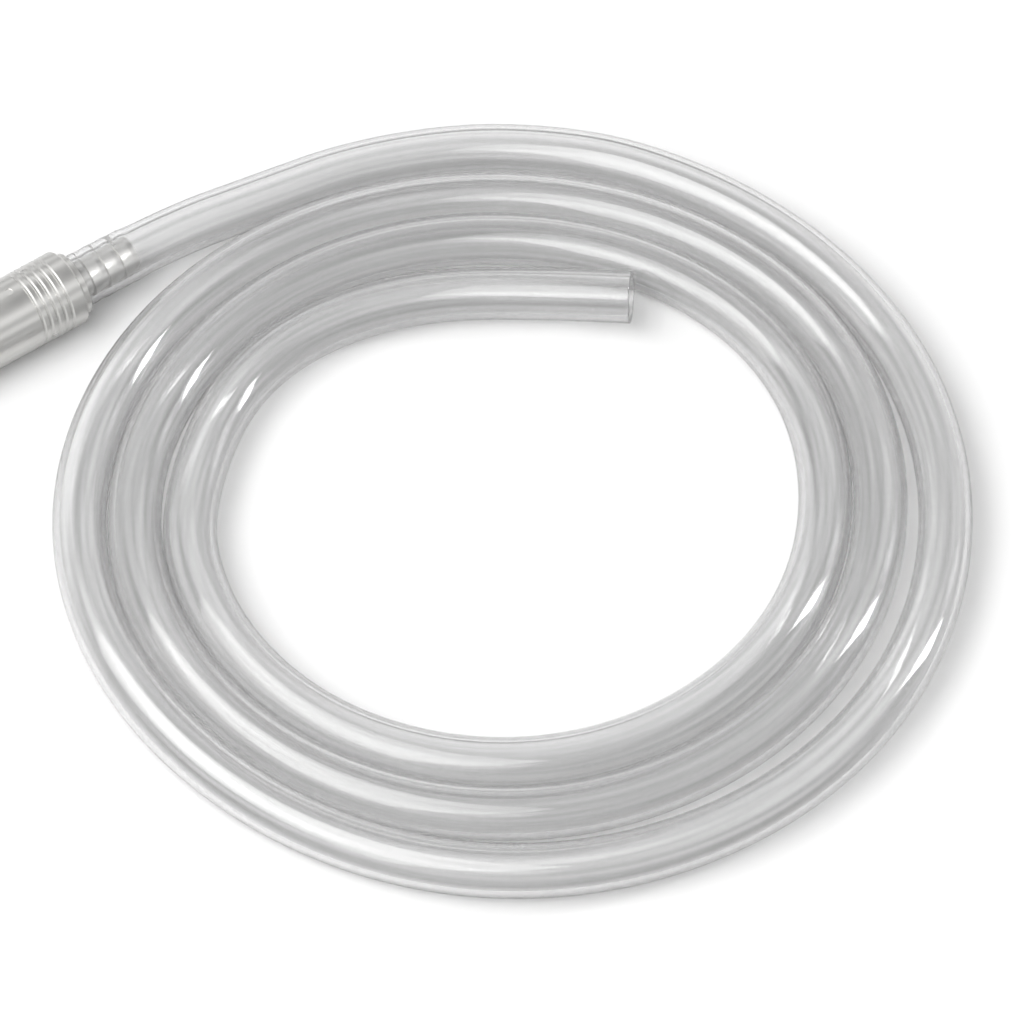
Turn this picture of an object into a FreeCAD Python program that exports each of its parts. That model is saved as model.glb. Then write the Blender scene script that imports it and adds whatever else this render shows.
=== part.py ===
"""Self-priming siphon: a clear hose lying in a loose flat coil, with a ball-valve tip on its intake end.

Millimetres, +Z up. The siphon lies on the plane Z = 0, and the origin is on that plane under the
middle of the valve tip. The hose is one length of tube. Its solids are a ring for the coiled turns
and a tube for each end that leaves the coil.
"""

import FreeCAD, Part
import math
import os

import Sketcher
from FreeCAD import Placement, Rotation, Vector

UP = Vector(0, 0, 1)

# Driving dimensions: name, millimetres or degrees, meaning.
DIMENSIONS = (
    ("hose_outside", 12.7, "hose outside diameter"),
    ("hose_inside", 9.53, "hose inside diameter"),
    ("inner_turn", 77.5, "mean radius of the coil's inner turn"),
    ("outer_turn", 104.2, "mean radius of the coil's outer turn"),
    ("ring_shift", 5.0, "middle of the turns behind the coil's centre"),
    ("tip_angle", 36.0, "turn of the tip's axis from -X towards -Y, degrees"),
    ("tip_x", -92.1, "start of the tip's stem from the coil's centre, X"),
    ("tip_y", 76.4, "start of the tip's stem from the coil's centre, Y"),
    ("stem_length", 16.0, "barbed stem inside the hose"),
    ("stem_bore", 6.4, "bore of the barbed stem"),
    ("stem_root", 9.0, "stem diameter between the barbs"),
    ("barb_outside", 10.1, "barb diameter"),
    ("barb_pitch", 4.4, "from one barb to the next"),
    ("barb_first", 1.2, "stem's plain nose before the first barb"),
    ("collar_outside", 16.0, "collar that the hose is pushed up to"),
    ("collar_width", 1.6, "collar width"),
    ("plug_length", 6.0, "barb fitting's plug inside the valve body"),
    ("seal_section", 1.5, "thickness of the seal ring"),
    ("seal_squeeze", 0.15, "how far the seal ring is squeezed"),
    ("body_outside", 19.0, "valve body outside diameter"),
    ("body_inside", 16.6, "valve body inside diameter"),
    ("body_length", 52.0, "valve body length"),
    ("body_round", 0.5, "chamfer at the ends of the valve body"),
    ("groove_depth", 0.35, "finger grooves round the valve body"),
    ("groove_width", 1.0, "finger groove width"),
    ("groove_pitch", 2.0, "from one finger groove to the next"),
    ("groove_first", 4.0, "first finger groove from the body's rear end"),
    ("ball_outside", 12.7, "glass ball diameter"),
    ("ball_travel", 12.0, "how far the ball leaves its seat"),
    ("ball_gap", 0.2, "room left round the ball at both ends of its travel"),
    ("pin_outside", 2.0, "stop pin diameter"),
    ("pin_recess", 0.2, "stop pin's ends below the body's surface"),
    ("seat_inside", 8.4, "opening through the seat"),
    ("seat_mouth", 14.0, "wide end of the seat's cone"),
    ("seat_length", 7.0, "seat ring length"),
    ("crown_length", 7.0, "body's open crown in front of the seat ring"),
    ("notch_width", 5.0, "intake notch width"),
    ("notch_depth", 3.5, "intake notch depth"),
)

# The hose from the tip to the coil, and from the coil to its bare cut end: X, Y and Z from the
# coil's centre. They are the corners that the hose's bends round off. Z is the hose's centreline.
TAIL_ROUTE = (
    (-84.0, 82.3, 9.5),
    (-60.5, 95.3, 7.6),
    (-39.0, 106.7, 6.35),
    (-13.0, 112.4, 6.35),
    (9.0, 111.8, 6.35),
    (29.5, 107.2, 6.35),
)
OUTLET_ROUTE = (
    (28.4, 62.7, 9.6),
    (5.0, 65.6, 7.8),
    (-19.0, 66.0, 6.6),
    (-40.5, 59.6, 6.35),
    (-58.0, 47.0, 6.35),
    (-69.5, 28.8, 6.35),
)

# The coil's centreline, its distance from the coil's centre at each eighth of a turn. It starts on
# the far left, on the inside, and runs left, near, right and far for three turns.
TURN_RADII = (
    (73.4, 75.5, 74.6, 72.9, 71.5, 73.1, 79.6, 83.6),
    (87.0, 88.3, 87.4, 86.4, 85.0, 86.1, 92.4, 96.5),
    (100.0, 101.2, 100.3, 102.4, 101.8, 101.3, 105.5, 111.9),
)
FIRST_ANGLE = 135.0


class Size:
    """A dimension that carries its spreadsheet expression beside its value."""

    def __init__(self, value, text):
        self.value = value
        self.text = text

    def join(self, other, symbol, value):
        text = other.text if isinstance(other, Size) else str(other)
        return Size(value, f"({self.text} {symbol} {text})")

    def __add__(self, other):
        return self.join(other, "+", self.value + plain(other))

    def __sub__(self, other):
        return self.join(other, "-", self.value - plain(other))

    def __mul__(self, other):
        return self.join(other, "*", self.value * plain(other))

    def __truediv__(self, other):
        return self.join(other, "/", self.value / plain(other))


def plain(size):
    """The number in a size, or the number itself."""
    return size.value if isinstance(size, Size) else size


def make_sheet(doc):
    """The spreadsheet of driving dimensions, and a Size for each."""
    sheet = doc.addObject("Spreadsheet::Sheet", "Dimensions")
    sizes = {}
    for row, (name, value, meaning) in enumerate(DIMENSIONS, start=1):
        sheet.set(f"A{row}", meaning)
        sheet.set(f"B{row}", str(value))
        sheet.setAlias(f"B{row}", name)
        sizes[name] = Size(value, f"Dimensions.{name}")
    doc.recompute()
    return sizes


def bind(obj, **properties):
    """Sets an object's properties from sizes, and keeps them bound to the sheet."""
    for name, size in properties.items():
        if isinstance(size, Size):
            obj.setExpression(name, size.text)
        setattr(obj, name, plain(size))


def origin_plane(body, role):
    """One of a body's own origin planes."""
    return next(f for f in body.Origin.OriginFeatures if f.Role == role)


def new_sketch(body, name, role):
    """An empty sketch on one of the body's origin planes."""
    sketch = body.newObject("Sketcher::SketchObject", name)
    sketch.AttachmentSupport = [(origin_plane(body, role), "")]
    sketch.MapMode = "FlatFace"
    return sketch


def pin_corner(sketch, line, corner):
    """Holds a line's start at a corner, each coordinate bound to the sheet or lying on an axis."""
    for kind, axis, size in (("DistanceX", -2, corner[0]), ("DistanceY", -1, corner[1])):
        if plain(size) == 0:
            sketch.addConstraint(Sketcher.Constraint("PointOnObject", line, 1, axis))
            continue
        index = sketch.addConstraint(Sketcher.Constraint(kind, -1, 1, line, 1, plain(size)))
        sketch.setExpression(f"Constraints[{index}]", size.text)


def draw_outline(sketch, corners):
    """A closed outline of straight lines."""
    points = [Vector(plain(x), plain(y), 0) for x, y in corners]
    for start, end in zip(points, points[1:] + points[:1]):
        sketch.addGeometry(Part.LineSegment(start, end), False)
    for line in range(len(corners)):
        following = (line + 1) % len(corners)
        sketch.addConstraint(Sketcher.Constraint("Coincident", line, 2, following, 1))
    for line, corner in enumerate(corners):
        pin_corner(sketch, line, corner)


def turned_body(doc, label, corners):
    """A turned piece: an outline of distance along X and radius, spun about X."""
    body = doc.addObject("PartDesign::Body", label)
    sketch = new_sketch(body, f"{label}_outline", "XY_Plane")
    draw_outline(sketch, corners)
    spin = body.newObject("PartDesign::Revolution", f"{label}_turned")
    spin.Profile = sketch
    spin.ReferenceAxis = (sketch, ["H_Axis"])
    spin.Angle = 360
    doc.recompute()
    return body


def cut_away(doc, body, name, sketch, **settings):
    """A pocket through the body, checked to have taken something away."""
    before = body.Shape.Volume
    pocket = body.newObject("PartDesign::Pocket", name)
    pocket.Profile = sketch
    for key, value in settings.items():
        setattr(pocket, key, value)
    doc.recompute()
    if body.Shape.Volume > before - 1:
        raise RuntimeError(f"{name} cuts nothing")
    return pocket


def tip_stations(size):
    """Distances along the tip from the start of its stem, named."""
    at = {"collar": size["stem_length"]}
    at["body"] = at["collar"] + size["collar_width"]
    at["plug_end"] = at["body"] + size["plug_length"]
    at["body_end"] = at["body"] + size["body_length"]
    at["seat_end"] = at["body_end"] - size["crown_length"]
    at["seat"] = at["seat_end"] - size["seat_length"]
    cone_length = (size["seat_mouth"] - size["seat_inside"]) / 2
    at["cone_end"] = at["seat"] + cone_length
    # A ball in a 45 degree cone touches it at its radius times the root of a half.
    reach = size["ball_outside"] * math.sqrt(0.5) - size["seat_inside"] / 2
    at["ball"] = at["cone_end"] - reach - size["ball_gap"]
    at["pin"] = at["ball"] - size["ball_travel"] - size["ball_gap"]
    at["pin"] = at["pin"] - (size["ball_outside"] + size["pin_outside"]) / 2
    at["seal"] = at["body"] + size["plug_length"] / 2
    return at


def make_hose_barb(doc, size, at):
    """The fitting between hose and valve body: a barbed stem, a collar and a grooved plug."""
    bore = size["stem_bore"] / 2
    root = size["stem_root"] / 2
    barb = size["barb_outside"] / 2
    plug = size["body_inside"] / 2
    collar = size["collar_outside"] / 2
    groove = plug - size["seal_section"] + size["seal_squeeze"]
    half_groove = size["seal_section"] * 0.65
    zero = Size(0, "0")
    corners = [(zero, bore), (zero, root)]
    for index in range(3):
        start = size["barb_first"] + size["barb_pitch"] * index
        corners.append((start, root))
        corners.append((start + size["barb_pitch"] * 0.7, barb))
        corners.append((start + size["barb_pitch"] * 0.75, root))
    corners.append((at["collar"], root))
    corners.append((at["collar"], collar))
    corners.append((at["body"], collar))
    corners.append((at["body"], plug))
    corners.append((at["seal"] - half_groove, plug))
    corners.append((at["seal"] - half_groove, groove))
    corners.append((at["seal"] + half_groove, groove))
    corners.append((at["seal"] + half_groove, plug))
    corners.append((at["plug_end"], plug))
    corners.append((at["plug_end"], bore))
    return turned_body(doc, "hose_barb", corners)


def make_valve_body(doc, size, at):
    """The tube round the ball: finger grooves, a cross hole for the pin and a notched crown."""
    inner = size["body_inside"] / 2
    outer = size["body_outside"] / 2
    edge = size["body_round"]
    groove = outer - size["groove_depth"]
    corners = [(at["body"], inner), (at["body"], outer - edge), (at["body"] + edge, outer)]
    for index in range(5):
        start = at["body"] + size["groove_first"] + size["groove_pitch"] * index
        corners.append((start, outer))
        corners.append((start + size["groove_depth"], groove))
        corners.append((start + size["groove_width"] - size["groove_depth"], groove))
        corners.append((start + size["groove_width"], outer))
    corners.append((at["body_end"] - edge, outer))
    corners.append((at["body_end"], outer - edge))
    corners.append((at["body_end"], inner))
    body = turned_body(doc, "valve_body", corners)

    hole = new_sketch(body, "pin_hole_outline", "XY_Plane")
    circle = Part.Circle(Vector(at["pin"].value, 0, 0), UP, size["pin_outside"].value / 2)
    hole.addGeometry(circle, False)
    hole.addConstraint(Sketcher.Constraint("PointOnObject", 0, 3, -1))
    index = hole.addConstraint(Sketcher.Constraint("DistanceX", -1, 1, 0, 3, at["pin"].value))
    hole.setExpression(f"Constraints[{index}]", at["pin"].text)
    index = hole.addConstraint(Sketcher.Constraint("Diameter", 0, size["pin_outside"].value))
    hole.setExpression(f"Constraints[{index}]", size["pin_outside"].text)
    cut_away(doc, body, "pin_hole", hole, Type="ThroughAll", Midplane=True)

    notch = new_sketch(body, "notch_outline", "XY_Plane")
    half = size["notch_width"] / 2
    back = at["body_end"] - size["notch_depth"]
    front = at["body_end"] + edge
    draw_slot(notch, back, front, half)
    first = cut_away(doc, body, "intake_notch", notch, Type="ThroughAll", Midplane=True)
    pattern = body.newObject("PartDesign::PolarPattern", "intake_notches")
    pattern.Originals = [first]
    pattern.Axis = (notch, ["H_Axis"])
    pattern.Angle = 90
    pattern.Occurrences = 2
    body.Tip = pattern
    before = body.Shape.Volume
    doc.recompute()
    if body.Shape.Volume > before - 1:
        raise RuntimeError("the notch pattern cuts nothing")
    return body


def draw_slot(sketch, back, front, half):
    """A rectangle across the X axis, from back to front, half wide each side."""
    points = (
        Vector(back.value, -half.value, 0),
        Vector(front.value, -half.value, 0),
        Vector(front.value, half.value, 0),
        Vector(back.value, half.value, 0),
    )
    for index in range(4):
        sketch.addGeometry(Part.LineSegment(points[index], points[(index + 1) % 4]), False)
    for index in range(4):
        sketch.addConstraint(Sketcher.Constraint("Coincident", index, 2, (index + 1) % 4, 1))
    for index, kind in enumerate(("Horizontal", "Vertical", "Horizontal")):
        sketch.addConstraint(Sketcher.Constraint(kind, index))
    sketch.addConstraint(Sketcher.Constraint("Symmetric", 0, 1, 3, 1, -1))
    for kind, target, size in (
        ("DistanceX", (-1, 1, 0, 1), back),
        ("DistanceX", (-1, 1, 0, 2), front),
        ("DistanceY", (1, 1, 1, 2), half * 2),
    ):
        index = sketch.addConstraint(Sketcher.Constraint(kind, *target, size.value))
        sketch.setExpression(f"Constraints[{index}]", size.text)


def make_seat_ring(doc, size, at):
    """The ring pressed into the body, with the cone that the ball closes."""
    outer = size["body_inside"] / 2
    bore = size["seat_inside"] / 2
    mouth = size["seat_mouth"] / 2
    corners = (
        (at["seat"], mouth),
        (at["seat"], outer),
        (at["seat_end"], outer),
        (at["seat_end"], bore),
        (at["cone_end"], bore),
    )
    return turned_body(doc, "seat_ring", corners)


def make_body_seal(doc, size):
    """The seal ring in the plug's groove, squeezed oval by the body."""
    seal = doc.addObject("Part::Torus", "body_seal")
    section = (size["seal_section"] - size["seal_squeeze"]) / 2
    bind(seal, Radius1=size["body_inside"] / 2 - section, Radius2=section)
    return seal


def make_stop_pin(doc, size):
    """The cross pin that keeps the ball off the stem's bore."""
    pin = doc.addObject("Part::Cylinder", "stop_pin")
    length = size["body_outside"] - size["pin_recess"] * 2
    bind(pin, Radius=size["pin_outside"] / 2, Height=length)
    return pin


def make_check_ball(doc, size):
    """The glass ball."""
    ball = doc.addObject("Part::Sphere", "check_ball")
    bind(ball, Radius=size["ball_outside"] / 2)
    return ball


def bend_radius(before, corner, after):
    """The arc at a route's corner: 0.45 of the shorter run over the tangent of half the turn."""
    turn = (corner - before).getAngle(after - corner)
    shorter = min((corner - before).Length, (after - corner).Length)
    return 0.45 * shorter / math.tan(turn / 2), turn


def rounded_path(points):
    """Straight runs joined by tangent arcs, and the arcs' radii and turns."""
    edges = []
    bends = []
    start = points[0]
    for before, corner, after in zip(points, points[1:], points[2:]):
        radius, turn = bend_radius(before, corner, after)
        back = (before - corner).normalize()
        ahead = (after - corner).normalize()
        reach = radius * math.tan(turn / 2)
        middle = corner + (back + ahead).normalize() * radius * (1 / math.cos(turn / 2) - 1)
        arc_start = corner + back * reach
        arc_end = corner + ahead * reach
        edges.append(Part.LineSegment(start, arc_start).toShape())
        edges.append(Part.Arc(arc_start, middle, arc_end).toShape())
        bends.append((radius, math.degrees(turn)))
        start = arc_end
    edges.append(Part.LineSegment(start, points[-1]).toShape())
    return Part.Wire(edges), bends


def swept_rod(path, start, towards, radius):
    """A round rod along a path."""
    circle = Part.Circle(start, (towards - start).normalize(), radius)
    return path.makePipeShell([Part.Wire(circle.toShape())], True, True)


def make_hose_end(doc, label, points, size):
    """A tube of the hose along a route. Gives the object, and a rod that fills the same space."""
    outer = size["hose_outside"].value / 2
    inner = size["hose_inside"].value / 2
    path, bends = rounded_path(points)
    rod = swept_rod(path, points[0], points[1], outer)
    tube = rod.cut(swept_rod(path, points[0], points[1], inner))
    wanted = math.pi * (outer**2 - inner**2) * path.Length
    if abs(tube.Volume / wanted - 1) > 0.01:
        raise RuntimeError(f"{label} has {tube.Volume:.0f} mm3 in place of {wanted:.0f}")
    radii = ", ".join(f"{radius:.0f} mm over {turn:.0f} degrees" for radius, turn in bends)
    print(f"{label}: {path.Length:.1f} mm long, bends {radii}")
    feature = doc.addObject("Part::Feature", label)
    feature.Shape = tube
    return feature, rod


def draw_stadium(sketch, inner, outer, height):
    """The coil's section, flat with round edges: a run from inner to outer, half round at each end."""
    middle = height / 2
    bottom, top = 0.0, height.value
    left = Vector(inner.value, middle.value, 0)
    right = Vector(outer.value, middle.value, 0)
    quarter = math.pi / 2
    sketch.addGeometry(
        [
            Part.LineSegment(Vector(left.x, bottom, 0), Vector(right.x, bottom, 0)),
            Part.ArcOfCircle(Part.Circle(right, UP, middle.value), -quarter, quarter),
            Part.LineSegment(Vector(right.x, top, 0), Vector(left.x, top, 0)),
            Part.ArcOfCircle(Part.Circle(left, UP, middle.value), quarter, 3 * quarter),
        ],
        False,
    )
    for first, second in ((0, 1), (1, 2), (2, 3), (3, 0)):
        sketch.addConstraint(Sketcher.Constraint("Tangent", first, 2, second, 1))
    for kind, target, size in (
        ("DistanceX", (-1, 1, 1, 3), outer),
        ("DistanceX", (-1, 1, 3, 3), inner),
        ("DistanceY", (-1, 1, 1, 3), middle),
        ("DistanceY", (-1, 1, 3, 3), middle),
        ("Radius", (1,), middle),
    ):
        index = sketch.addConstraint(Sketcher.Constraint(kind, *target, size.value))
        sketch.setExpression(f"Constraints[{index}]", size.text)


def make_hose_coil(doc, size, rods):
    """The outer shape of the three turns, less the room of the hose's two ends."""
    turns = doc.addObject("PartDesign::Body", "coil_turns")
    sketch = new_sketch(turns, "coil_section", "XZ_Plane")
    draw_stadium(sketch, size["inner_turn"], size["outer_turn"], size["hose_outside"])
    spin = turns.newObject("PartDesign::Revolution", "coil_turned")
    spin.Profile = sketch
    spin.ReferenceAxis = (sketch, ["V_Axis"])
    spin.Angle = 360
    turns.Placement = Placement(Vector(0, size["ring_shift"].value, 0), Rotation())
    doc.recompute()
    coil = turns
    for rod, label in rods:
        room = doc.addObject("Part::Feature", f"{label}_room")
        room.Shape = rod
        less = doc.addObject("Part::Cut", label)
        less.Base = coil
        less.Tool = room
        doc.recompute()
        if not 1 < coil.Shape.Volume - less.Shape.Volume < rod.Volume:
            raise RuntimeError(f"{label} isn't cut")
        coil = less
    return coil


def coil_length(size):
    """The length of hose in the coiled turns."""
    radii = [radius for turn in TURN_RADII for radius in turn]
    eighth = math.radians(45)
    steps = zip(radii, radii[1:])
    return sum(math.hypot((a + b) / 2 * eighth, b - a) for a, b in steps)


def check_document(doc):
    """Stops if an object has failed."""
    for obj in doc.Objects:
        if "Invalid" in obj.State or "Error" in obj.State:
            raise RuntimeError(f"{obj.Name} failed: {obj.State}")


def main():
    doc = FreeCAD.newDocument("siphon")
    size = make_sheet(doc)
    at = tip_stations(size)

    # The tip lies on the surface, so its axis is half the body's diameter above it.
    axis_height = size["body_outside"].value / 2
    turn = math.radians(size["tip_angle"].value)
    outward = Vector(-math.cos(turn), -math.sin(turn), 0)
    tip_start = Vector(size["tip_x"].value, size["tip_y"].value, axis_height)
    tip_turn = Rotation(UP, 180 + size["tip_angle"].value)
    along = Rotation(Vector(0, 1, 0), 90)

    barb = make_hose_barb(doc, size, at)
    body = make_valve_body(doc, size, at)
    seat = make_seat_ring(doc, size, at)
    for piece in (barb, body, seat):
        piece.Placement = Placement(tip_start, tip_turn)
    seal = make_body_seal(doc, size)
    seal.Placement = Placement(tip_start + outward * at["seal"].value, tip_turn * along)
    ball = make_check_ball(doc, size)
    ball.Placement = Placement(tip_start + outward * at["ball"].value, tip_turn)
    pin = make_stop_pin(doc, size)
    half_pin = size["body_outside"].value / 2 - size["pin_recess"].value
    pin.Placement = Placement(tip_start + outward * at["pin"].value - UP * half_pin, tip_turn)

    hose_end = tip_start + outward * at["collar"].value
    tail_points = [hose_end] + [Vector(*point) for point in TAIL_ROUTE]
    tail, tail_rod = make_hose_end(doc, "hose_inlet_tail", tail_points, size)
    outlet_points = [Vector(*point) for point in OUTLET_ROUTE]
    outlet, outlet_rod = make_hose_end(doc, "hose_outlet_end", outlet_points, size)
    rods = ((tail_rod, "coil_less_tail"), (outlet_rod, "hose_coil"))
    coil = make_hose_coil(doc, size, rods)

    tip = [barb, body, seat, seal, ball, pin]
    parts = tip + [tail, outlet, coil]
    doc.recompute()
    check_document(doc)

    # The origin lies under the middle of the tip.
    boxes = [piece.Shape.optimalBoundingBox() for piece in tip]
    middle = Vector(
        (min(box.XMin for box in boxes) + max(box.XMax for box in boxes)) / 2,
        (min(box.YMin for box in boxes) + max(box.YMax for box in boxes)) / 2,
        0,
    )
    for piece in parts:
        piece.Placement = Placement(piece.Placement.Base - middle, piece.Placement.Rotation)
    doc.recompute()
    check_document(doc)

    print(f"coil's centre at {-middle.x:.3f}, {-middle.y:.3f}")
    print(f"hose in the coil: {coil_length(size):.0f} mm")
    os.makedirs("parts", exist_ok=True)
    for piece in parts:
        if piece.Shape.isNull() or not piece.Shape.isValid():
            raise RuntimeError(f"{piece.Label} has no valid shape")
        print(f"{piece.Label}: {len(piece.Shape.Solids)} solid, {piece.Shape.Volume:.1f} mm3")
    for piece in parts:
        piece.Shape.exportStep(f"parts/{piece.Label}.step")


main()
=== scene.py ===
"""A self-priming siphon: a clear hose in a loose flat coil, with a steel ball-valve tip on its intake end.

Metres, +Z up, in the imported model's frame. The hose is one tube that follows one smooth route.
The tip's pieces keep their own meshes and get better materials here.
"""

import math
from collections import namedtuple

import bmesh
import bpy
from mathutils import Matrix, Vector


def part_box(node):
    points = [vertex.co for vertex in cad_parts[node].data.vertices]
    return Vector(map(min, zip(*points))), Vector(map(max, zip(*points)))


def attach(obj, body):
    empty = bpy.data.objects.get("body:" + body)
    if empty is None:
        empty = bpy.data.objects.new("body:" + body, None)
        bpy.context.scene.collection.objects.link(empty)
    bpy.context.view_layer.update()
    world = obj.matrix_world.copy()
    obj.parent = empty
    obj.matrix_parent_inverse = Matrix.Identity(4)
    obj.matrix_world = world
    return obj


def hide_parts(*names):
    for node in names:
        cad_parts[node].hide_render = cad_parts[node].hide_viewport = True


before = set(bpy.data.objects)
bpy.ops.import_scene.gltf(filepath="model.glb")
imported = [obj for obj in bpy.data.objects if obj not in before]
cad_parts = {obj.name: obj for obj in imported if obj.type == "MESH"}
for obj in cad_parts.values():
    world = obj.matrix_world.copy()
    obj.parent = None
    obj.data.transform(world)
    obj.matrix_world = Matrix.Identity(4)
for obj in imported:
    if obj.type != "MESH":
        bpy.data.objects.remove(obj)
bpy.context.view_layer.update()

MM = 0.001
UP = Vector((0, 0, 1))

# The hose.
HOSE_OUTSIDE = 12.7 * MM
HOSE_INSIDE = 9.53 * MM
HOSE_RADIUS = HOSE_OUTSIDE / 2
BORE_RADIUS = HOSE_INSIDE / 2

# The tip: where its barbed stem starts, in millimetres from the coil's centre, and its turn from -X
# towards -Y.
TIP_START = (-92.1, 76.4)
TIP_ANGLE = math.radians(36)
TIP_RADIUS = 9.5 * MM
STEM_LENGTH = 16 * MM

# How far the middle of the coil's solid is behind the coil's centre.
RING_SHIFT = 5 * MM

# The hose from the tip to the coil, and from the bare cut end to the coil: millimetres from the
# coil's centre, with the height of the hose's centreline.
TAIL_ROUTE = (
    (-84.0, 82.3, 9.5),
    (-60.5, 95.3, 7.6),
    (-39.0, 106.7, 6.35),
    (-13.0, 112.4, 6.35),
    (9.0, 111.8, 6.35),
    (29.5, 107.2, 6.35),
)
OUTLET_ROUTE = (
    (28.4, 62.7, 9.6),
    (5.0, 65.6, 7.8),
    (-19.0, 66.0, 6.6),
    (-40.5, 59.6, 6.35),
    (-58.0, 47.0, 6.35),
    (-69.5, 28.8, 6.35),
)

# The coil's centreline, its distance from the centre in millimetres at each eighth of a turn. A row
# is one turn, from the far left round by the left, the near side and the right, the innermost first.
TURN_RADII = (
    (73.4, 75.5, 74.6, 72.9, 71.5, 73.1, 79.6, 83.6),
    (87.0, 88.3, 87.4, 86.4, 85.0, 86.1, 92.4, 96.5),
    (100.0, 101.2, 100.3, 102.4, 101.8, 101.3, 105.5, 111.9),
)
FIRST_ANGLE = 135
RADIUS_STEP = 45

# The part of those turns between the two routes, in degrees: from the outside of the coil inwards.
LOOP_START = 1140
LOOP_END = 180
LOOP_STEP = 15

# The hose's mesh. Its rings of vertices are closer together over the stem, where it swells.
SIDES = 64
LINE_DETAIL = 32
RING_STEP = 2.5 * MM
STEM_RING_STEP = 0.5 * MM
STEM_RINGS_END = STEM_LENGTH + 6 * MM
CUT_ROUND = 0.12 * MM
EDGE_STEPS = 3

# How far the hose is stretched over the stem, and how much more over each of its barbs.
STEM_SWELL = 0.20 * MM
BARB_SWELL = 0.12 * MM
BARB_FIRST = 2.4 * MM
BARB_PITCH = 4.4 * MM
SWELL_END = STEM_LENGTH + 4 * MM
SWELL_FADE = 6 * MM

# How far the bore wanders off the middle, sideways and upwards, in long waves, and the length of hose
# that one radian of each wave takes.
SIDE_WANDER = 0.09 * MM
SIDE_RADIAN = 47 * MM
SIDE_PHASE = 0.6
RISE_WANDER = 0.07 * MM
RISE_RADIAN = 31 * MM

# The hose mesh's material slots.
OUTER_SKIN = 0
INNER_WALL = 1

# The values of a noise at which a tint reaches its low and its high grey.
TINT_STOPS = (0.3, 0.7)

# The studio.
FLOOR_HALF = 6.0
SKY_STRENGTH = 1.2

# The surroundings' light at heights from the horizon, 0, to straight up, 1.
SKY_BANDS = (
    (0.0, 0.2),
    (0.14, 0.1),
    (0.28, 2.6),
    (0.42, 0.1),
    (0.58, 0.1),
    (0.72, 1.6),
    (0.86, 0.2),
    (1.0, 0.1),
)

# The large softbox fades towards its edges: it is one light within another, these shares of its size.
SOFT_EDGE = (1.0, 0.8, 0.6, 0.4)

# The camera.
CAMERA_ELEVATION = math.radians(52)
CAMERA_DISTANCE = 1.6
CAMERA_LENS = 240.5
CAMERA_SENSOR = 36

# A ring of the hose: its middle, the hose's own sideways, upward and forward directions there, the
# ring's radius and the distance along the hose.
Ring = namedtuple("Ring", "middle side over forward radius place")


def coil_centre():
    """The coil's centre on the floor, from the box of the coil's solid."""
    low, high = (Vector(corner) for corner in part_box("hose_coil"))
    half_width = (high.x - low.x) / 2
    return Vector(((low.x + high.x) / 2, low.y + half_width - RING_SHIFT, 0))


CENTRE = coil_centre()
TIP_AXIS = Vector((-math.cos(TIP_ANGLE), -math.sin(TIP_ANGLE), 0))
TIP_POINT = CENTRE + Vector((TIP_START[0] * MM, TIP_START[1] * MM, TIP_RADIUS))
HOSE_EXIT = TIP_POINT + TIP_AXIS * STEM_LENGTH


# ---- the hose's route ----


def turn_radius(angle):
    """The coil's radius in millimetres at an angle in degrees, smoothly between the listed ones."""
    radii = [radius for turn in TURN_RADII for radius in turn]
    place = (angle - FIRST_ANGLE) / RADIUS_STEP
    index = min(int(place), len(radii) - 2)
    part = place - index
    before = radii[max(index - 1, 0)]
    start = radii[index]
    end = radii[index + 1]
    after = radii[min(index + 2, len(radii) - 1)]
    rise = (end - before) / 2
    fall = (after - start) / 2
    return (
        start * (1 + 2 * part) * (1 - part) ** 2
        + rise * part * (1 - part) ** 2
        + end * part**2 * (3 - 2 * part)
        - fall * part**2 * (1 - part)
    )


def hose_route():
    """The control points of the hose's spline, from the tip to the bare cut end."""
    points = [HOSE_EXIT]
    points += [CENTRE + Vector(point) * MM for point in TAIL_ROUTE]
    # A quadratic spline runs inside its control points, which stand out by this much.
    stand_out = 1 / math.cos(math.radians(LOOP_STEP / 2))
    for angle in range(LOOP_START, LOOP_END - 1, -LOOP_STEP):
        radius = turn_radius(angle) * MM * stand_out
        turn = math.radians(angle)
        place = Vector((math.cos(turn) * radius, math.sin(turn) * radius, HOSE_RADIUS))
        points.append(CENTRE + place)
    points += [CENTRE + Vector(point) * MM for point in reversed(OUTLET_ROUTE)]
    return points


def spline_points(control):
    """The points of the smooth spline with these control points, as Blender evaluates it."""
    curve = bpy.data.curves.new("hose_route", "CURVE")
    curve.dimensions = "3D"
    curve.resolution_u = LINE_DETAIL
    spline = curve.splines.new("NURBS")
    spline.points.add(len(control) - 1)
    for point, place in zip(spline.points, control):
        point.co = (*place, 1)
    spline.order_u = 3
    spline.use_endpoint_u = True
    route = bpy.data.objects.new("hose_route", curve)
    bpy.context.scene.collection.objects.link(route)
    bpy.context.view_layer.update()
    line = bpy.data.meshes.new_from_object(route)
    points = [vertex.co.copy() for vertex in line.vertices]
    bpy.data.objects.remove(route)
    bpy.data.curves.remove(curve)
    bpy.data.meshes.remove(line)
    return points


def lengths_along(points):
    """The distance along the line at each of its points."""
    total = 0.0
    lengths = [0.0]
    for start, end in zip(points, points[1:]):
        total += (end - start).length
        lengths.append(total)
    return lengths


def directions_along(points):
    """The line's direction at each of its points."""
    ends = [points[0]] + points + [points[-1]]
    return [(after - before).normalized() for before, after in zip(ends, ends[2:])]


# ---- the hose's mesh ----


def hose_swell(along):
    """How far the hose is stretched outwards over the barbed stem."""
    if along >= SWELL_END:
        return 0.0
    fade = min(1.0, (SWELL_END - along) / SWELL_FADE)
    fade = fade * fade * (3 - 2 * fade)
    barb = 0.5 + 0.5 * math.cos((along - BARB_FIRST) / BARB_PITCH * math.tau)
    return (STEM_SWELL + BARB_SWELL * barb) * fade


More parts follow.
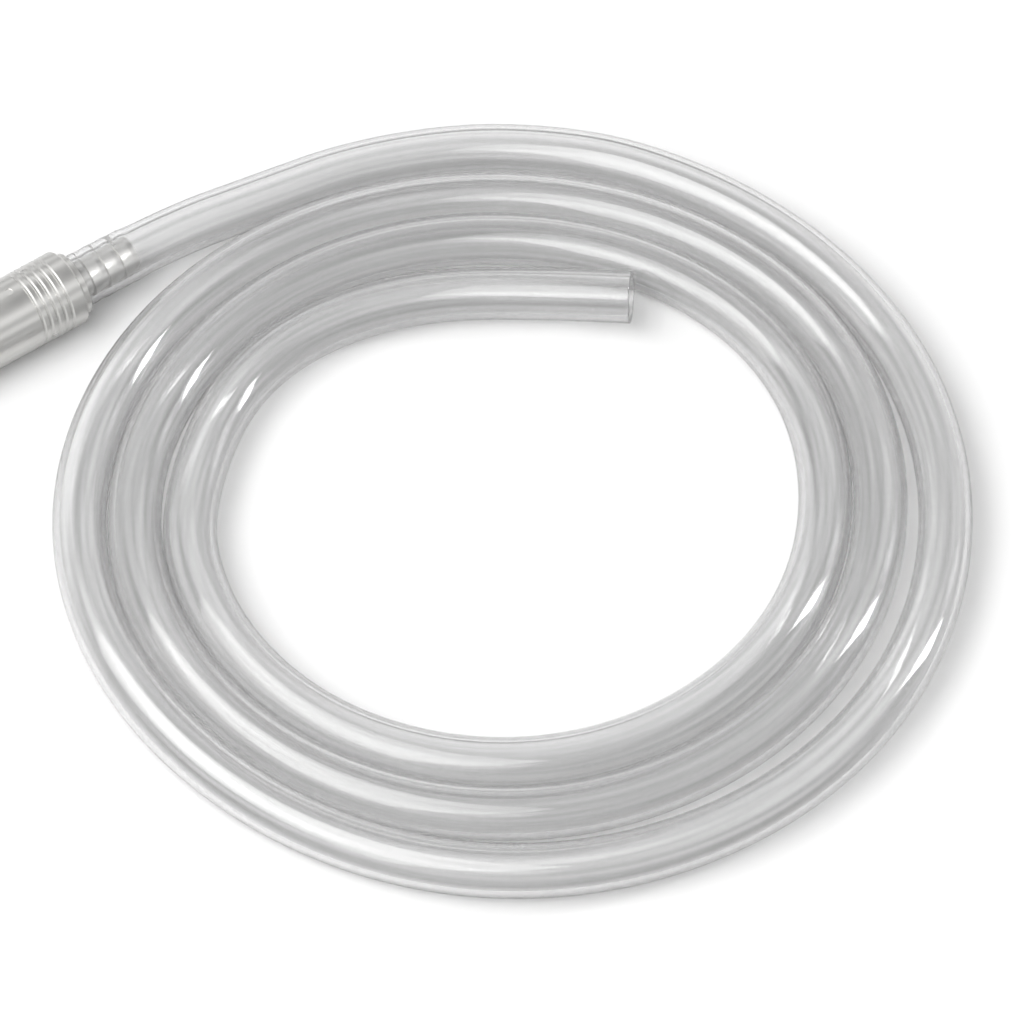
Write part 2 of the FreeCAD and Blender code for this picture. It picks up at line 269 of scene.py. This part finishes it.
def bore_shift(along, side, over):
    """How far the bore is off the middle: the wall of an extruded hose is never quite even."""
    across = math.sin(along / SIDE_RADIAN + SIDE_PHASE) * SIDE_WANDER
    upward = math.sin(along / RISE_RADIAN) * RISE_WANDER
    return side * across + over * upward


def ring_places(total):
    """The distances along the hose, up to its whole length, that get a ring of vertices."""
    places = []
    at = 0.0
    while at < total:
        places.append(at)
        at += STEM_RING_STEP if at < STEM_RINGS_END else RING_STEP
    places.append(total)
    if places[-1] - places[-2] < STEM_RING_STEP:
        places.pop(-2)
    return places


def hose_rings(points):
    """The rings of the outer wall and those of the bore, from the tip to the bare cut end."""
    lengths = lengths_along(points)
    directions = directions_along(points)
    outer = []
    inner = []
    index = 0
    for place in ring_places(lengths[-1]):
        while index < len(lengths) - 2 and lengths[index + 1] < place:
            index += 1
        part = (place - lengths[index]) / (lengths[index + 1] - lengths[index])
        middle = points[index].lerp(points[index + 1], part)
        forward = directions[index].lerp(directions[index + 1], part).normalized()
        side = forward.cross(UP).normalized()
        over = side.cross(forward)
        swell = hose_swell(place)
        bore_middle = middle + bore_shift(place, side, over)
        outer.append(Ring(middle, side, over, forward, HOSE_RADIUS + swell, place))
        inner.append(Ring(bore_middle, side, over, forward, BORE_RADIUS + swell, place))
    return outer, inner


def cut_end(outside, inside, towards):
    """The rings over a cut end, from the outer wall to the bore, with a small round at both edges."""
    rings = []
    for step in range(1, EDGE_STEPS + 1):
        turn = math.pi / 2 * step / EDGE_STEPS
        radius = outside.radius - CUT_ROUND * (1 - math.cos(turn))
        middle = outside.middle + outside.forward * towards * CUT_ROUND * math.sin(turn)
        rings.append(outside._replace(middle=middle, radius=radius))
    for step in range(EDGE_STEPS):
        turn = math.pi / 2 * (1 - step / EDGE_STEPS)
        radius = inside.radius + CUT_ROUND * (1 - math.cos(turn))
        middle = inside.middle + inside.forward * towards * CUT_ROUND * math.sin(turn)
        rings.append(inside._replace(middle=middle, radius=radius))
    return rings


def ring_vertices(mesh, ring):
    """A ring's vertices, evenly round it."""
    vertices = []
    for index in range(SIDES):
        turn = math.tau * index / SIDES
        outwards = ring.side * math.cos(turn) + ring.over * math.sin(turn)
        vertices.append(mesh.verts.new(ring.middle + outwards * ring.radius))
    return vertices


def build_hose(points):
    """The hose: outer wall, bore and two flat cut ends with softened edges, as one closed mesh."""
    outer, inner = hose_rings(points)
    loop = outer + cut_end(outer[-1], inner[-1], 1)
    bore_rows = range(len(loop), len(loop) + len(inner) - 1)
    loop += reversed(inner)
    loop += reversed(cut_end(outer[0], inner[0], -1))

    mesh = bmesh.new()
    around_layer = mesh.loops.layers.uv.new("around_and_along")
    rows = [ring_vertices(mesh, ring) for ring in loop]
    for number, row in enumerate(rows):
        following = (number + 1) % len(rows)
        next_row = rows[following]
        start = loop[number].place
        end = loop[following].place
        for index in range(SIDES):
            after = (index + 1) % SIDES
            face = mesh.faces.new((row[index], row[after], next_row[after], next_row[index]))
            face.smooth = True
            face.material_index = INNER_WALL if number in bore_rows else OUTER_SKIN
            left = index / SIDES
            right = (index + 1) / SIDES
            corners = ((left, start), (right, start), (right, end), (left, end))
            for corner, place in zip(face.loops, corners):
                corner[around_layer].uv = place
    bmesh.ops.recalc_face_normals(mesh, faces=mesh.faces)
    data = bpy.data.meshes.new("hose")
    mesh.to_mesh(data)
    mesh.free()
    hose = bpy.data.objects.new("hose", data)
    bpy.context.scene.collection.objects.link(hose)
    return hose


# ---- the nodes that the materials share ----


def new_material(name):
    """A node material with its output and one Principled shader."""
    material = bpy.data.materials.new(name)
    material.use_nodes = True
    nodes = material.node_tree.nodes
    shader = nodes["Principled BSDF"]
    return material, nodes, material.node_tree.links, shader


def object_place(nodes):
    """The place on a piece, in the model's frame."""
    return nodes.new("ShaderNodeTexCoord").outputs["Object"]


def add_mapping(nodes, links, vector, rotation=(0, 0, 0), scale=(1, 1, 1)):
    """A vector, scaled and then turned."""
    mapping = nodes.new("ShaderNodeMapping")
    mapping.inputs["Rotation"].default_value = rotation
    mapping.inputs["Scale"].default_value = scale
    links.new(vector, mapping.inputs["Vector"])
    return mapping.outputs["Vector"]


def around_the_hose(nodes, links, turn_scale, along_scale):
    """A place on the hose as a vector that closes round it: two scales, across and along."""
    uv = nodes.new("ShaderNodeUVMap")
    uv.uv_map = "around_and_along"
    split = nodes.new("ShaderNodeSeparateXYZ")
    links.new(uv.outputs["UV"], split.inputs["Vector"])
    turn = nodes.new("ShaderNodeMath")
    turn.operation = "MULTIPLY"
    turn.inputs[1].default_value = math.tau
    links.new(split.outputs["X"], turn.inputs[0])
    join = nodes.new("ShaderNodeCombineXYZ")
    for operation, socket in (("COSINE", "X"), ("SINE", "Y")):
        wave = nodes.new("ShaderNodeMath")
        wave.operation = operation
        links.new(turn.outputs["Value"], wave.inputs[0])
        links.new(wave.outputs["Value"], join.inputs[socket])
    links.new(split.outputs["Y"], join.inputs["Z"])
    return add_mapping(nodes, links, join.outputs["Vector"], scale=(turn_scale, turn_scale, along_scale))


def add_noise(nodes, links, vector, scale, detail):
    """A noise texture on a vector."""
    noise = nodes.new("ShaderNodeTexNoise")
    noise.inputs["Scale"].default_value = scale
    noise.inputs["Detail"].default_value = detail
    links.new(vector, noise.inputs["Vector"])
    return noise.outputs["Fac"]


def add_bump(nodes, links, height, strength, distance, base=None):
    """A bump from a height, over another bump if there is one."""
    bump = nodes.new("ShaderNodeBump")
    bump.inputs["Strength"].default_value = strength
    bump.inputs["Distance"].default_value = distance
    links.new(height, bump.inputs["Height"])
    if base is not None:
        links.new(base, bump.inputs["Normal"])
    return bump.outputs["Normal"]


def add_range(nodes, links, value, low, high):
    """A value between 0 and 1, stretched to run from low to high."""
    stretch = nodes.new("ShaderNodeMapRange")
    stretch.inputs["To Min"].default_value = low
    stretch.inputs["To Max"].default_value = high
    links.new(value, stretch.inputs["Value"])
    return stretch.outputs["Result"]


def add_tint(nodes, links, value, low, high):
    """A grey between two greys, from a value."""
    ramp = nodes.new("ShaderNodeValToRGB")
    for stop, place, grey in zip(ramp.color_ramp.elements, TINT_STOPS, (low, high)):
        stop.position = place
        stop.color = (grey, grey, grey, 1)
    links.new(value, ramp.inputs["Fac"])
    return ramp.outputs["Color"]


# ---- the materials ----


def hose_material(name, greys, clearness, shadow):
    """Soft clear PVC: broad and fine die lines along its length in its surface, a grey tint that is
    painted shade, streaked with painted light and dark bands along the broad lines, and a shadow of a set
    grey.
    """
    material, nodes, links, shader = new_material(name)
    shader.inputs["Transmission Weight"].default_value = clearness
    shader.inputs["IOR"].default_value = 1.52

    fine_place = around_the_hose(nodes, links, turn_scale=9.0, along_scale=0.5)
    fine_lines = add_noise(nodes, links, fine_place, scale=1, detail=2)
    broad_place = around_the_hose(nodes, links, turn_scale=2.6, along_scale=0.9)
    broad_lines_and_painted_bands = add_noise(nodes, links, broad_place, scale=1, detail=1)
    # Painted shade and bands: the tint is greyed, and lighter and darker in lengthwise streaks, in place
    # of the shade and refraction bands of a clear hose.
    links.new(add_tint(nodes, links, broad_lines_and_painted_bands, *greys), shader.inputs["Base Color"])
    normal = add_bump(nodes, links, broad_lines_and_painted_bands, strength=0.1, distance=0.5 * MM)
    normal = add_bump(nodes, links, fine_lines, strength=0.1, distance=0.1 * MM, base=normal)
    links.new(normal, shader.inputs["Normal"])
    links.new(add_range(nodes, links, fine_lines, low=0.04, high=0.12), shader.inputs["Roughness"])

    path = nodes.new("ShaderNodeLightPath")
    clear = nodes.new("ShaderNodeBsdfTransparent")
    clear.inputs["Color"].default_value = (shadow, shadow, shadow, 1)
    mix = nodes.new("ShaderNodeMixShader")
    links.new(path.outputs["Is Shadow Ray"], mix.inputs[0])
    links.new(shader.outputs["BSDF"], mix.inputs[1])
    links.new(clear.outputs["BSDF"], mix.inputs[2])
    links.new(mix.outputs["Shader"], nodes["Material Output"].inputs["Surface"])
    return material


def steel_material():
    """Turned stainless steel: fine rings round the tip's axis and faint handling marks."""
    material, nodes, links, shader = new_material("turned_steel")
    shader.inputs["Metallic"].default_value = 1.0
    shader.inputs["Base Color"].default_value = (0.62, 0.615, 0.60, 1)
    place = object_place(nodes)
    marks = add_noise(nodes, links, place, scale=180, detail=4)
    links.new(add_range(nodes, links, marks, low=0.22, high=0.38), shader.inputs["Roughness"])
    along_axis = add_mapping(nodes, links, place, rotation=(0, 0, -TIP_ANGLE))
    squeezed = add_mapping(nodes, links, along_axis, scale=(9000, 60, 60))
    rings = add_noise(nodes, links, squeezed, scale=1, detail=2)
    normal = add_bump(nodes, links, rings, strength=0.35, distance=0.02 * MM)
    links.new(normal, shader.inputs["Normal"])
    return material


def seal_material():
    """Matt black rubber with a fine grain."""
    material, nodes, links, shader = new_material("seal_rubber")
    shader.inputs["Base Color"].default_value = (0.025, 0.025, 0.028, 1)
    shader.inputs["Roughness"].default_value = 0.55
    grain = add_noise(nodes, links, object_place(nodes), scale=4000, detail=2)
    normal = add_bump(nodes, links, grain, strength=0.2, distance=0.02 * MM)
    links.new(normal, shader.inputs["Normal"])
    return material


def ball_material():
    """Polished clear glass with a faint green tint and a few dull marks."""
    material, nodes, links, shader = new_material("ball_glass")
    shader.inputs["Base Color"].default_value = (0.86, 0.93, 0.90, 1)
    shader.inputs["Transmission Weight"].default_value = 1.0
    shader.inputs["IOR"].default_value = 1.5
    marks = add_noise(nodes, links, object_place(nodes), scale=500, detail=5)
    links.new(add_range(nodes, links, marks, low=0.0, high=0.08), shader.inputs["Roughness"])
    return material


def floor_material():
    """The studio's plain surface, with painted shade: pale grey where the hose bends the view of it, and
    white beside it.
    """
    material, nodes, links, shader = new_material("studio_floor")
    path = nodes.new("ShaderNodeLightPath")
    # Painted shade: the floor is paler straight to the camera than to the rays that reach it through or
    # off the hose.
    shade = add_range(nodes, links, path.outputs["Is Camera Ray"], low=0.49, high=0.55)
    links.new(shade, shader.inputs["Base Color"])
    shader.inputs["Roughness"].default_value = 0.6
    shader.inputs["Specular IOR Level"].default_value = 0.2
    return material


# ---- the pieces ----


def add_hose():
    """The hose, built at its real length along its route, in place of the CAD's hose pieces."""
    route = spline_points(hose_route())
    hose = build_hose(route)
    # The greys of each tint are painted shade: the skin is darkened and streaked, and the bore is nearly
    # clear.
    skin = hose_material("hose_skin", greys=(0.53, 0.91), clearness=0.92, shadow=0.5)
    wall = hose_material("hose_bore", greys=(0.94, 1.0), clearness=1.0, shadow=0.9)
    hose.data.materials.append(skin)
    hose.data.materials.append(wall)
    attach(hose, "siphon")
    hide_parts("hose_coil", "hose_inlet_tail", "hose_outlet_end")


def dress(node, material):
    """Gives a CAD node one material."""
    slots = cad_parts[node].data.materials
    slots.clear()
    slots.append(material)


def dress_tip():
    """The tip's pieces in steel, rubber and glass."""
    steel = steel_material()
    for node in ("hose_barb", "valve_body", "seat_ring", "stop_pin"):
        dress(node, steel)
    dress("body_seal", seal_material())
    dress("check_ball", ball_material())


# ---- the studio ----


def add_floor():
    """A plain floor, large enough for every view."""
    data = bpy.data.meshes.new("floor")
    corners = [
        (-FLOOR_HALF, -FLOOR_HALF, 0),
        (FLOOR_HALF, -FLOOR_HALF, 0),
        (FLOOR_HALF, FLOOR_HALF, 0),
        (-FLOOR_HALF, FLOOR_HALF, 0),
    ]
    data.from_pydata(corners, [], [(0, 1, 2, 3)])
    floor = bpy.data.objects.new("floor", data)
    bpy.context.scene.collection.objects.link(floor)
    data.materials.append(floor_material())


def add_softbox(name, direction, distance, width, height, power):
    """A rectangular light that faces the coil, from a direction."""
    data = bpy.data.lights.new(name, "AREA")
    data.shape = "RECTANGLE"
    data.size = width
    data.size_y = height
    data.energy = power
    light = bpy.data.objects.new(name, data)
    towards = Vector(direction).normalized()
    light.location = CENTRE + towards * distance
    light.rotation_euler = towards.to_track_quat("Z", "Y").to_euler()
    bpy.context.scene.collection.objects.link(light)


def add_sky():
    """Soft surroundings in light and dark bands, one above the other."""
    world = bpy.data.worlds.new("studio")
    world.use_nodes = True
    nodes = world.node_tree.nodes
    links = world.node_tree.links
    place = nodes.new("ShaderNodeTexCoord")
    split = nodes.new("ShaderNodeSeparateXYZ")
    links.new(place.outputs["Generated"], split.inputs["Vector"])
    ramp = nodes.new("ShaderNodeValToRGB")
    ramp.color_ramp.interpolation = "B_SPLINE"
    # The ramp has its first and last stops already, at 0 and 1.
    stops = ramp.color_ramp.elements
    for height, _ in SKY_BANDS[1:-1]:
        stops.new(height)
    for stop, (_, light) in zip(stops, SKY_BANDS):
        stop.color = (light, light, light, 1)
    links.new(split.outputs["Z"], ramp.inputs["Fac"])
    background = nodes["Background"]
    links.new(ramp.outputs["Color"], background.inputs["Color"])
    background.inputs["Strength"].default_value = SKY_STRENGTH
    bpy.context.scene.world = world


def add_softboxes():
    """A narrow softbox on the right, and a large one on the near left."""
    right = (0.879, 0.19, 0.46)
    add_softbox("softbox_right", right, distance=1.3, width=0.17, height=0.5, power=6.5)
    left = (-0.504, -0.257, 0.825)
    for part in SOFT_EDGE:
        add_softbox("softbox_left", left, distance=0.95, width=1.35 * part, height=part, power=11 * part)


def add_camera():
    """The camera, above the near side of the coil."""
    data = bpy.data.cameras.new("camera")
    data.lens = CAMERA_LENS
    data.sensor_width = CAMERA_SENSOR
    camera = bpy.data.objects.new("camera", data)
    target = CENTRE + UP * HOSE_RADIUS
    back = Vector((0, -math.cos(CAMERA_ELEVATION), math.sin(CAMERA_ELEVATION)))
    camera.location = target + back * CAMERA_DISTANCE
    camera.rotation_euler = (math.pi / 2 - CAMERA_ELEVATION, 0, 0)
    bpy.context.scene.collection.objects.link(camera)
    bpy.context.scene.camera = camera


add_camera()
add_hose()
dress_tip()
add_floor()
add_sky()
add_softboxes()
bpy.context.scene.view_settings.view_transform = "Standard"
